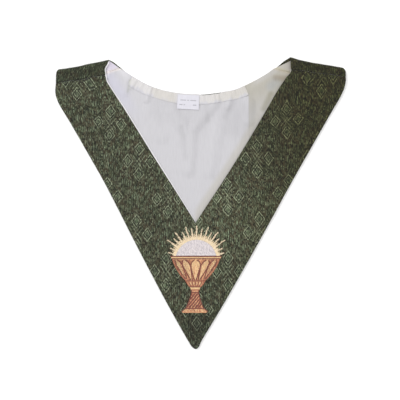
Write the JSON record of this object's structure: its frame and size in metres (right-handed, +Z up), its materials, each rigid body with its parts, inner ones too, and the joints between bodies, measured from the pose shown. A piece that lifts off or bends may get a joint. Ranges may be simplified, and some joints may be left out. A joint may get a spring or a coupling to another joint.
{
  "type": "scapular",
  "caption": "V-shaped liturgical scapular laid flat: green jacquard band over a lined back panel, with an embroidered cup and host at the point.",
  "frame": {"origin": "middle of the surface that the cloth rests on", "axes": "+Z up out of the front's outside, +Y from the point towards the neck, +X to the right as seen from above"},
  "size_m": [0.451, 0.4522, 0.0092],
  "materials": {
    "jacquard": "dark green jacquard with woven lozenges",
    "lining": "white satin lining",
    "facing": "cream twill tape",
    "label": "white woven satin label",
    "white_thread": "rayon embroidery thread",
    "gold_thread": "rayon embroidery thread",
    "copper_thread": "rayon embroidery thread"
  },
  "bodies": {
    "root": {"back_panel": "jacquard", "back_lining": "lining", "front_lining": "lining", "front_band": "jacquard", "neck_facing": "facing", "label": "label", "emblem_host": "white_thread", "emblem_glory": "gold_thread", "emblem_cup": "copper_thread"}
  },
  "joints": []
}
